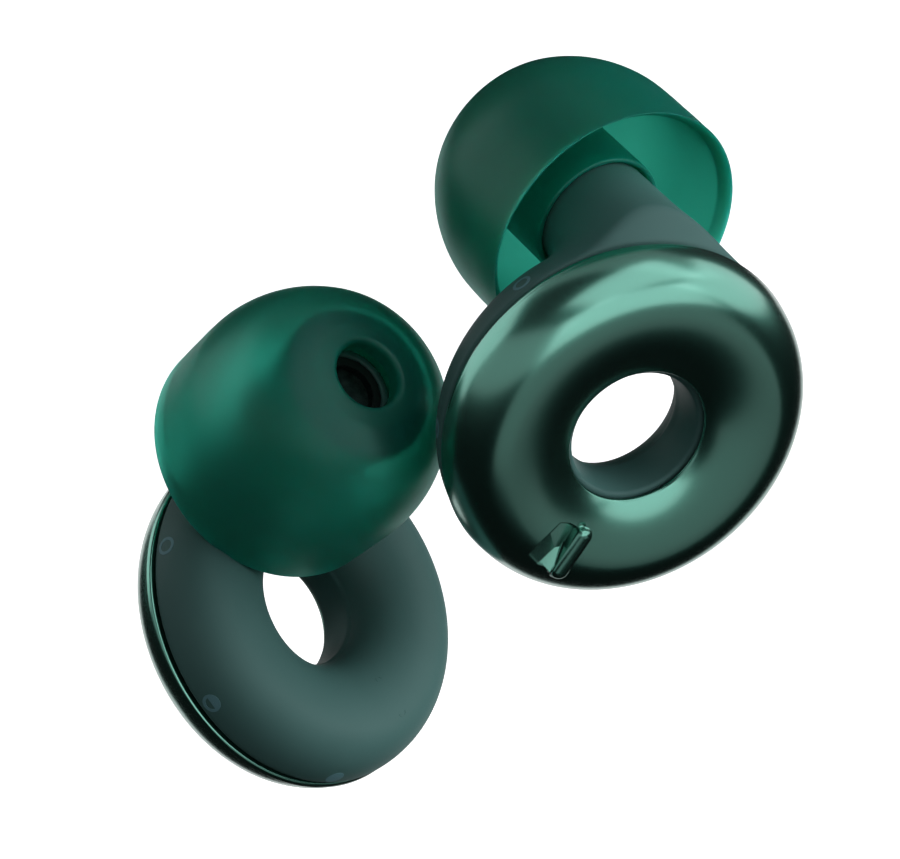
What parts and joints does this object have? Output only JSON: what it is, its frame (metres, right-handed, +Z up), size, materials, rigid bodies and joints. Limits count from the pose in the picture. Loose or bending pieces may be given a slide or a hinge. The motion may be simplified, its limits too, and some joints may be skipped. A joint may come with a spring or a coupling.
{
  "type": "ring ear plug pair",
  "caption": "Pair of reusable ring-shaped ear plugs: a turning metallic dial on a matte ring body, a hollow stem and a soft domed silicone ear tip on each.",
  "frame": {"origin": "on the right ear tip's axis inside the tip, 5.5 mm from the right ring's seam plane, where the ear canal holds it", "axes": "+Z up, along the pair's longest extent; -Y is the way the right plug's dial faces, away from the wearer's head"},
  "size_m": [0.028, 0.0164, 0.0315],
  "materials": {
    "dial_metallic": "moulded plastic with a satin-gloss deep green metallic coating",
    "body_matte": "soft-touch matte dark grey-teal",
    "tip_silicone": "translucent satin emerald silicone",
    "inner_plastic": "moulded dark engineering plastic",
    "spring_steel": "bare spring steel",
    "seal_rubber": "matte black rubber",
    "filter_mesh": "fine woven acoustic mesh"
  },
  "bodies": {
    "right_body": {"right_body_shell": "body_matte", "right_channel_plate": "inner_plastic", "right_port_gasket": "seal_rubber", "right_click_spring": "spring_steel", "right_retaining_ring": "spring_steel", "right_filter_mesh": "filter_mesh", "right_filter_ring": "inner_plastic"},
    "right_dial": {"right_dial_cover": "dial_metallic", "right_shutter_ring": "inner_plastic"},
    "right_tip": {"right_ear_tip": "tip_silicone"},
    "left_tip": {"left_ear_tip": "tip_silicone"},
    "left_body": {"left_body_shell": "body_matte", "left_channel_plate": "inner_plastic", "left_port_gasket": "seal_rubber", "left_click_spring": "spring_steel", "left_retaining_ring": "spring_steel", "left_filter_mesh": "filter_mesh", "left_filter_ring": "inner_plastic"},
    "left_dial": {"left_dial_cover": "dial_metallic", "left_shutter_ring": "inner_plastic"}
  },
  "joints": [
    {"name": "right_dial_turn", "type": "hinge", "parent": "right_body", "child": "right_dial", "pos_m": [-0.00051, -0.00537, -0.00693], "axis": [0, -1, 0], "range_deg": [-106, 4]},
    {"name": "right_tip_pull", "type": "slide", "parent": "right_body", "child": "right_tip", "axis": [-0.1685, 0.9771, 0.1302], "range_m": [0, 0.008]},
    {"name": "left_plug_apart", "type": "slide", "parent": "right_body", "child": "left_tip", "axis": [-1, 0, 0], "range_m": [0, 0.03]},
    {"name": "left_body_pull", "type": "slide", "parent": "left_tip", "child": "left_body", "axis": [-0.3091, 0.603, -0.7354], "range_m": [0, 0.008]},
    {"name": "left_dial_turn", "type": "hinge", "parent": "left_body", "child": "left_dial", "pos_m": [-0.01304, 0.00144, -0.01863], "axis": [0.501, -0.5789, 0.6434], "range_deg": [-96, 14]}
  ]
}
